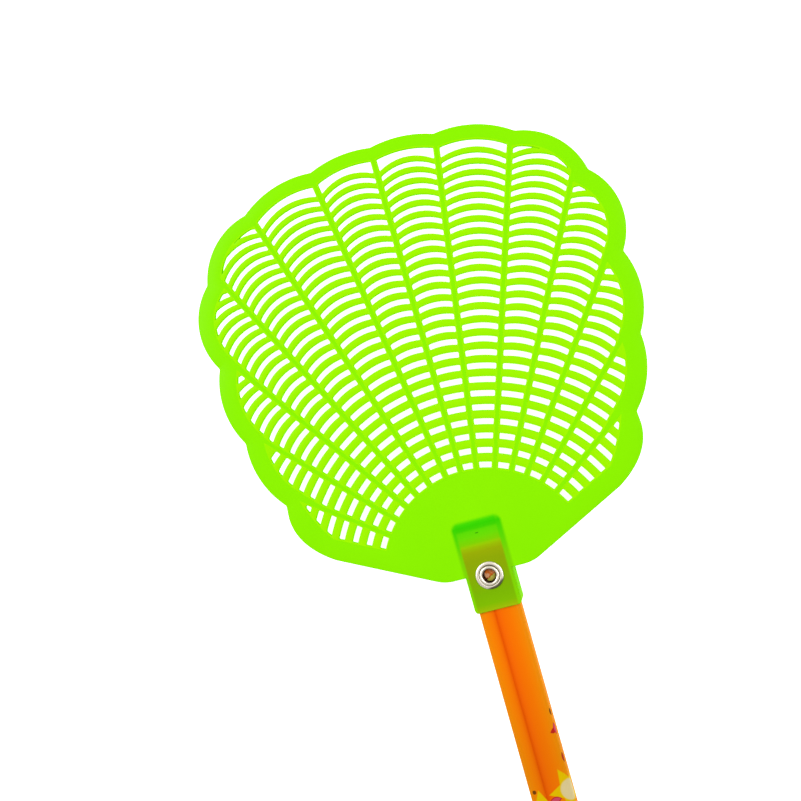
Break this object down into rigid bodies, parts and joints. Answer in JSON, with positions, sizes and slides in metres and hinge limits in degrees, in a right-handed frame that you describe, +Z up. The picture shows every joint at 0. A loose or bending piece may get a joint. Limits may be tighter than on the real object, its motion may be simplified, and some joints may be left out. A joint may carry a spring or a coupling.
{
  "type": "fly swatter",
  "caption": "Hand fly swatter with a slatted scallop-shell blade on a flat film-wrapped handle, held in its socket by an eyelet.",
  "frame": {"origin": "bottom centre of the box around the swatter lying flat, on the surface that it lies on", "axes": "+Y from the hanging cap to the tip of the blade, +Z up out of the blade's face, +X to the right"},
  "size_m": [0.1296, 0.46, 0.0106],
  "materials": {
    "lime_plastic": "moulded, slightly translucent, satin gloss",
    "orange_film": "printed plastic film, glossy",
    "pale_wood": "plain sawn stick",
    "nickel": "nickel-plated steel"
  },
  "bodies": {
    "root": {"blade": "lime_plastic", "socket": "lime_plastic", "handle_core": "pale_wood", "handle_film": "orange_film", "eyelet": "nickel", "eyelet_washer": "nickel", "punched_plug": "orange_film", "punched_chip": "lime_plastic", "end_cap": "lime_plastic"}
  },
  "joints": []
}
